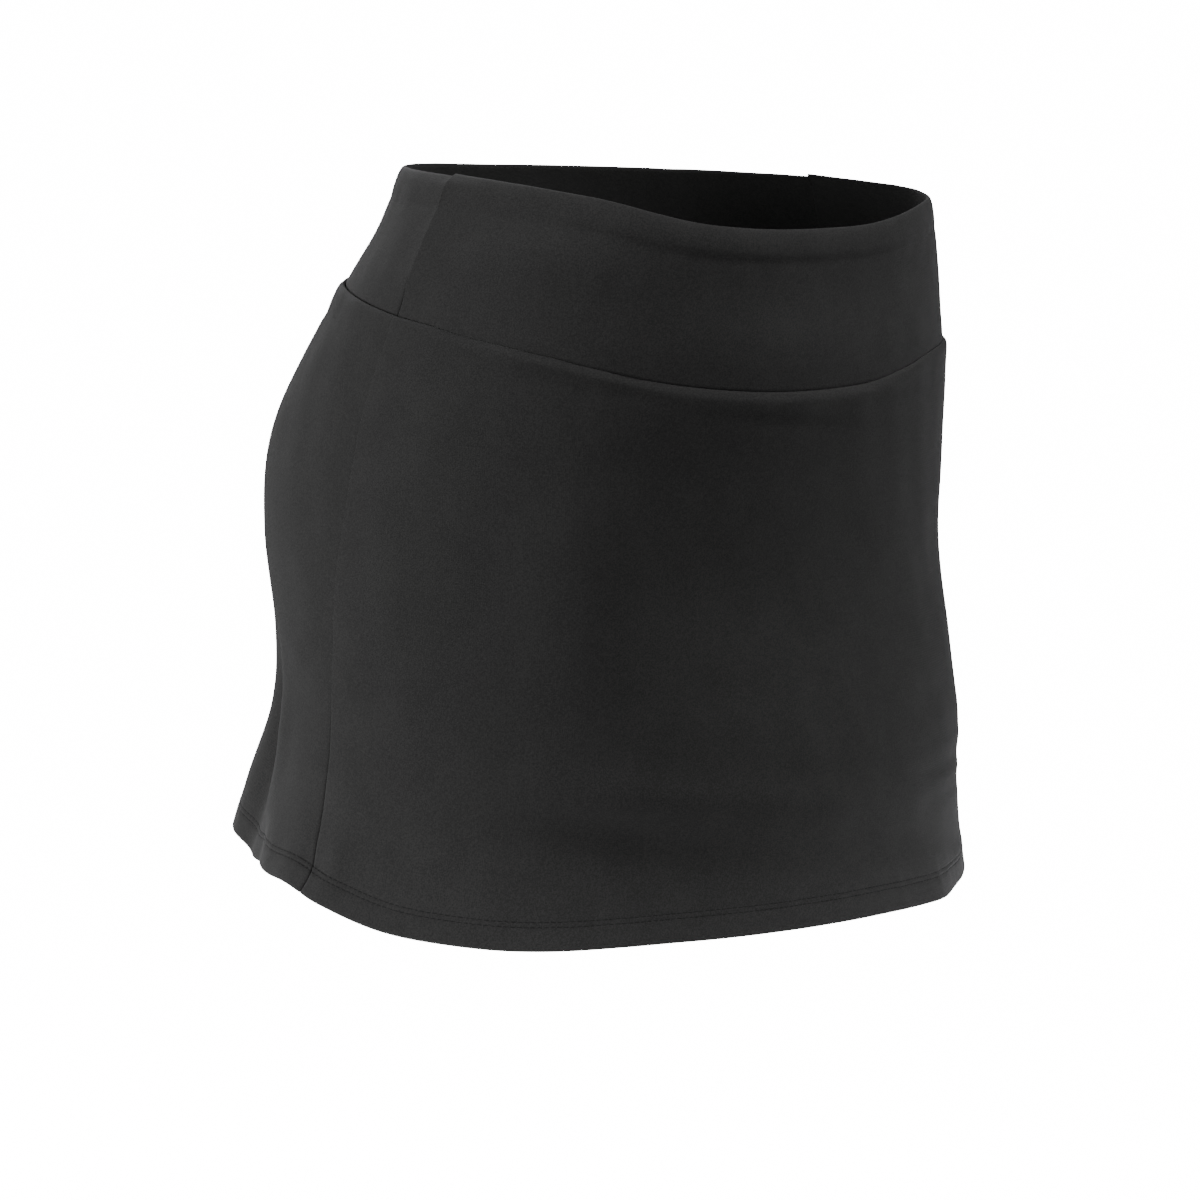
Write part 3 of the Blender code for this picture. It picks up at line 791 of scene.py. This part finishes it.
BAND_CREASES = (
    Crease(72.0, -0.031, 22.0, 0.0155, 0.00010, 0.0034),
    Crease(10.0, -0.060, 34.0, 0.0170, 0.00000, 0.0018),
    Crease(-20.0, -0.034, 20.0, 0.0090, 0.00004, -0.0004),
    Crease(104.0, -0.030, 7.0, 0.0140, 0.00010, 0.0005),
    Crease(150.0, -0.028, 16.0, 0.0090, 0.00000, -0.0006),
    Crease(205.0, -0.034, 18.0, 0.0100, 0.00004, 0.0006),
    Crease(248.0, -0.026, 12.0, 0.0090, 0.00000, -0.0005),
    Crease(300.0, -0.040, 18.0, 0.0110, -0.00004, 0.0005),
)
BAND_FREE = 0.012            # from here up over the waist seam the band is free to crease
CASING_DEPTH = 0.0148        # the casing of the elastic is sewn down this far under the rim
CASING_RIPPLE = Ripple(13, (74, 52, 35, 25), 0.00014, CASING_DEPTH, 0.004)
BAND_SIDE_RIPPLES = (
    Ripple(15, (100, 62, 40), 0.00014, 0.0, 0.008),
    Ripple(16, (100, 62, 40), 0.00014, 0.0, 0.008),
)

# The band has a soft corner at its side seams: a narrow one on a wide one. It fades out at the rim and over
# the waist seam.
Corner = namedtuple("Corner", "push reach")
SIDE_CORNERS = (Corner(0.0006, 0.0060), Corner(0.0016, 0.0280))
CORNER_TOP, CORNER_FOOT, CORNER_RUN = 0.006, 0.004, 0.012
BAND_DRAWN_LEAST = 0.02      # the side seams draw the band in no more than this,
BAND_DRAWN_FOOT = 0.5        # but more in the last stretch over the waist seam
FOOT_TALL, FOOT_RUN = 0.020, 0.016           # how tall that stretch is, and how softly it begins
BAND_ROWS, BAND_COLUMNS = 24, 180


def rim_height(angle):
    return edge("rim", angle)


def front_rim_height(angle):
    return rim_height(angle) + FRONT_BAND_RISE * np.abs(angle / side_angle(0)) ** 8


def band_foot_height(angle):
    return waist_seam_height(angle) - BAND_BEHIND


def band_faces(angle, height, from_top, from_bottom, from_side):
    """How far the two faces of the waistband stand off the garment's body."""
    above_seam = from_bottom - BAND_BEHIND
    leans = np.exp(-(off(angle, LEAN_CENTRE) / LEAN_REACH) ** 2)
    outer = rolled(BAND_ROLL, "outer", from_top) + leans * rolled(RIM_LEAN, "outer", from_top)
    outer = outer + rolled(BAND_TUCK, "outer", above_seam)
    inner = rolled(BAND_ROLL, "inner", from_top) - BAND_MIDDLE + rolled(BAND_TUCK, "inner", above_seam)
    free = ease(above_seam / BAND_FREE)
    move = (crease_push(BAND_CREASES, angle, height) + uneven(angle, height, seed=23, swell=0.00005)) * free
    move = move + crease_push(BODY_FORMS, angle, height)
    move = move + pucker(angle / 360, CASING_RIPPLE) * faded(from_top, CASING_RIPPLE)
    move = move + side_pucker(angle, height, from_side, BAND_SIDE_RIPPLES) * free
    corner = sum(part.push * np.exp(-from_side / part.reach) for part in SIDE_CORNERS)
    corner = corner * ease(from_top / CORNER_TOP) * ease((above_seam - CORNER_FOOT) / CORNER_RUN)
    move = move + corner
    drawn = BAND_DRAWN_LEAST + BAND_DRAWN_FOOT * ease((FOOT_TALL - above_seam) / FOOT_RUN)
    return sewn_edges(outer + move, inner + move, from_top, from_bottom, from_side, drawn)


for name, front, upper, flat, area in (
        ("waistband_front_cloth", True, front_rim_height, (0.490, 0.090), 0.0410),
        ("waistband_back_cloth", False, rim_height, (0.430, 0.075), 0.0300)):
    piece = sewn_panel(name, body, band_faces, upper, band_foot_height, front,
                       BAND_TOP_STEPS, BAND_ROWS, BAND_BOTTOM_STEPS, BAND_COLUMNS)
    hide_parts(name.replace("_cloth", ""))
    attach(piece, "root")


# ---- The shorts -------------------------------------------------------------------------------------
# Short inner shorts of a light black knit, hidden by the skirt: a front and a back panel for each leg, sewn
# at the side, at the inseam and at the centre. They hang from the waist seam.

SHORTS_WALL = 0.0009
SHORTS_SINK = 0.00005        # the face is this far inside the surface of the shorts
SHORTS_HEM, SHORTS_HEM_STEP = 0.020, 0.003   # how tall the turned-up hem is, and how softly it ends
SHORTS_HEM_IN = 0.0005       # how much thicker it is, inside
SHORTS_ROUND = 0.0008        # how far in from its top and bottom edges a wall is rounded
Level = namedtuple("Level", "height inset turned")
SHORTS_LEVELS = (
    Level(-0.300, 0.0060, 1.00),
    Level(-0.243, 0.0060, 1.00),
    Level(-0.238, 0.0060, 0.84),
    Level(-0.230, 0.0060, 0.62),
    Level(-0.218, 0.0055, 0.36),
    Level(-0.202, 0.0050, 0.15),
    Level(-0.180, 0.0045, 0.02),
    Level(-0.160, 0.0040, 0.00),
    Level(-0.110, 0.0030, 0.00),
    Level(-0.060, 0.0019, 0.00),
    Level(-0.030, 0.0019, 0.00),
)
SHORTS_TOP_DROP = 0.0106
SHORTS_FOOT = -0.298
LEGS_MEET = -0.00005         # at the crotch the two legs just meet
Leg = namedtuple("Leg", "height thigh_gap half_width half_depth centre")
LEGS = (
    Leg(-0.300, 0.0120, 0.0780, 0.0940, 0.0010),
    Leg(-0.270, 0.0055, 0.0820, 0.0985, 0.0025),
    Leg(-0.243, LEGS_MEET, 0.0860, 0.1030, 0.0040),
    Leg(-0.150, LEGS_MEET, 0.0860, 0.1030, 0.0040),
)


def leg(around, height):
    """A point of the wearer's right leg tube: 0 and 1 are the inseam, 0.5 is the outer thigh."""
    thigh_gap, half_width, half_depth, centre = (
        smooth(column(LEGS, "height"), column(LEGS, name), height)
        for name in ("thigh_gap", "half_width", "half_depth", "centre"))
    turn = 2 * math.pi * around
    x = -thigh_gap - half_width * (1 - np.cos(turn))
    y = centre - half_depth * np.sin(turn)
    return np.stack(np.broadcast_arrays(x, y, height), axis=-1)


def shorts(around, height, side):
    """A point of one leg of the shorts, from the centre front round to the centre back.

    It is always worked out on the wearer's right: side is -1 for the left leg, which is mirrored later."""
    heights = column(SHORTS_LEVELS, "height")
    inset = smooth(heights, column(SHORTS_LEVELS, "inset"), height)
    turned = np.clip(smooth(heights, column(SHORTS_LEVELS, "turned"), height), 0, 1)[..., None]
    angle = 180 * around
    inset = inset - crease_push(BODY_FORMS, side * angle, height)
    half_body = body(angle, height) - normals(body, angle, height) * inset[..., None]
    return half_body * (1 - turned) + leg(around, height) * turned


shorts_face = knit("black_knit_face", (0.0110, 0.0110, 0.0112), (0.0180, 0.0180, 0.0182), 0.5, 0.08)
# The back of this knit has less nap and sheen than its face. Its darker colour is painted shade for the
# inside of the shorts.
shorts_back_with_painted_shade = knit("black_knit_back_painted_shade", (0.0100, 0.0100, 0.0102), (0.0160, 0.0160, 0.0162), 0.4, 0.05)
SHORTS_ROWS, SHORTS_LINES = 90, 60
LEG_STEP = 0.004             # a step round a leg for its directions, as a share of the way round

for name, front, mirrored in (
        ("shorts_front_right_cloth", True, False), ("shorts_front_left_cloth", True, True),
        ("shorts_back_right_cloth", False, False), ("shorts_back_left_cloth", False, True)):
    around = np.linspace(0, 0.5, SHORTS_LINES)
    around = around if front else 1 - around
    angle = -180 * around if mirrored else 180 * around
    top = waist_seam_height(angle) - SHORTS_TOP_DROP
    share = np.linspace(0, 1, SHORTS_ROWS)[:, None]
    height = top * (1 - share) + SHORTS_FOOT * share
    around = np.broadcast_to(around, height.shape)
    from_foot = height - SHORTS_FOOT
    from_top = top - height
    leg_surface = partial(shorts, side=-1 if mirrored else 1)
    normal = normals(leg_surface, around, height, LEG_STEP)
    outer = np.full(height.shape, -SHORTS_SINK)
    inner = outer - SHORTS_WALL - SHORTS_HEM_IN * ease((SHORTS_HEM - from_foot) / SHORTS_HEM_STEP)
    middle, thick = (outer + inner) / 2, (outer - inner) / 2
    thick = thick * rounded(from_foot, SHORTS_ROUND, EDGE_LEFT) * rounded(from_top, SHORTS_ROUND, EDGE_LEFT)
    place = leg_surface(around, height)
    walls = [place + normal * (middle + sign * thick)[..., None] for sign in (1, -1)]
    for wall in walls:
        wall[..., 0] = np.minimum(wall[..., 0], 0)   # neither leg crosses the middle
        if mirrored:
            wall[..., 0] *= -1
    piece = cloth_wall(name, *walls, shorts_face, shorts_back_with_painted_shade)
    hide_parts(name.replace("_cloth", ""))
    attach(piece, "root")


# ---- The room ---------------------------------------------------------------------------------------
# A pale studio: a floor at the height of the wearer's feet, white all round, and wide soft lights.

FLOOR = -1.0
FLOOR_SIZE = 900
BACKDROP_GLOW = 16.0         # the backdrop is lit on its own, until it is white
SKY_GLOW = 16.5              # and so is what is seen over the floor's far edge
ROOM_LIGHT = 0.09
bpy.ops.object.select_all(action="DESELECT")
bpy.ops.mesh.primitive_plane_add(size=FLOOR_SIZE, location=(0, 0, FLOOR))
floor = bpy.context.active_object
floor.name = "floor"
floor.visible_diffuse = False
floor.visible_glossy = False
paper = Finish("white_paper", Roughness=0.95, Specular_IOR_Level=0.0, Emission_Strength=BACKDROP_GLOW)
paper.drive("Emission Color", paper.blend(paper.noise(3.0, 2.0), (0.0, (0.98, 0.98, 0.98)), (1.0, (1, 1, 1))))
floor.data.materials.append(paper.material)

world = bpy.data.worlds.new("white_studio")
world.use_nodes = True
sky = world.node_tree.nodes["Background"]
seen = world.node_tree.nodes.new("ShaderNodeLightPath").outputs["Is Camera Ray"]
level = world.node_tree.nodes.new("ShaderNodeMapRange")
level.inputs["To Min"].default_value = ROOM_LIGHT
level.inputs["To Max"].default_value = SKY_GLOW
world.node_tree.links.new(seen, level.inputs["Value"])
world.node_tree.links.new(level.outputs["Result"], sky.inputs["Strength"])
sky.inputs["Color"].default_value = (1.0, 1.0, 1.0, 1.0)
bpy.context.scene.world = world


def soft_light(name, place, aim, wide, tall, power):
    """A wide soft light at a place, turned to face a point."""
    data = bpy.data.lights.new(name, "AREA")
    data.shape = "ELLIPSE"
    data.size, data.size_y, data.energy = wide, tall, power
    lamp = bpy.data.objects.new(name, data)
    bpy.context.scene.collection.objects.link(lamp)
    ahead = np.array(aim, float) - np.array(place, float)
    ahead /= np.linalg.norm(ahead)
    lamp.location = place
    lamp.rotation_euler = (math.acos(-ahead[2]), 0, math.atan2(ahead[1], ahead[0]) - math.pi / 2)
    return lamp


Lamp = namedtuple("Lamp", "name place power")
LAMPS = (
    Lamp("right_side", (-1.69, 0.63, -0.16), 35.0),
    Lamp("overhead", (0.40, -0.46, 1.53), 19.0),
    Lamp("high_front", (0.24, -1.35, 1.00), 16.2),
    Lamp("back_right", (-0.31, 1.78, -0.16), 6.0),
    Lamp("back_left", (0.60, 1.36, 0.90), 9.0),
)
LAMP_SIZE = 1.0
MIDDLE = (0, 0, -0.16)       # of the garment, which the lamps face
for lamp in LAMPS:
    soft_light(lamp.name, lamp.place, MIDDLE, LAMP_SIZE, LAMP_SIZE, lamp.power)

# A low light shines up, as a white floor does, and isn't seen itself.
under_hem = soft_light("under_hem", (0, 0, -0.343), (0, 0.0001, 0), wide=0.51, tall=0.43, power=0.94)
under_hem.visible_camera = False


# ---- The camera -------------------------------------------------------------------------------------
# It looks at the wearer's right front from a little above, with a long lens and a slight roll.

AZIMUTH = math.radians(-49.99)
ELEVATION = math.radians(8.988)
ROLL = math.radians(3.5)
DISTANCE = 1.9969
LOOKS_AT = (0, 0.0065, -0.19989)
SHIFT_ASIDE = -0.01505
FOCAL_LENGTH = 125.56        # millimetres, on a sensor 36 wide
back = np.array([math.sin(AZIMUTH) * math.cos(ELEVATION), -math.cos(AZIMUTH) * math.cos(ELEVATION),
                 math.sin(ELEVATION)])
level = np.array([math.cos(AZIMUTH), math.sin(AZIMUTH), 0.0])
upright = np.cross(back, level)
right = level * math.cos(ROLL) + upright * math.sin(ROLL)
up = upright * math.cos(ROLL) - level * math.sin(ROLL)
place = SHIFT_ASIDE * right + np.array(LOOKS_AT) + DISTANCE * back
lens = bpy.data.cameras.new("camera")
lens.lens = FOCAL_LENGTH
lens.sensor_width = 36.0
camera = bpy.data.objects.new("camera", lens)
bpy.context.scene.collection.objects.link(camera)
placed = [[right[i], up[i], back[i], place[i]] for i in range(3)]
camera.matrix_world = Matrix(placed + [[0, 0, 0, 1]])
bpy.context.scene.camera = camera
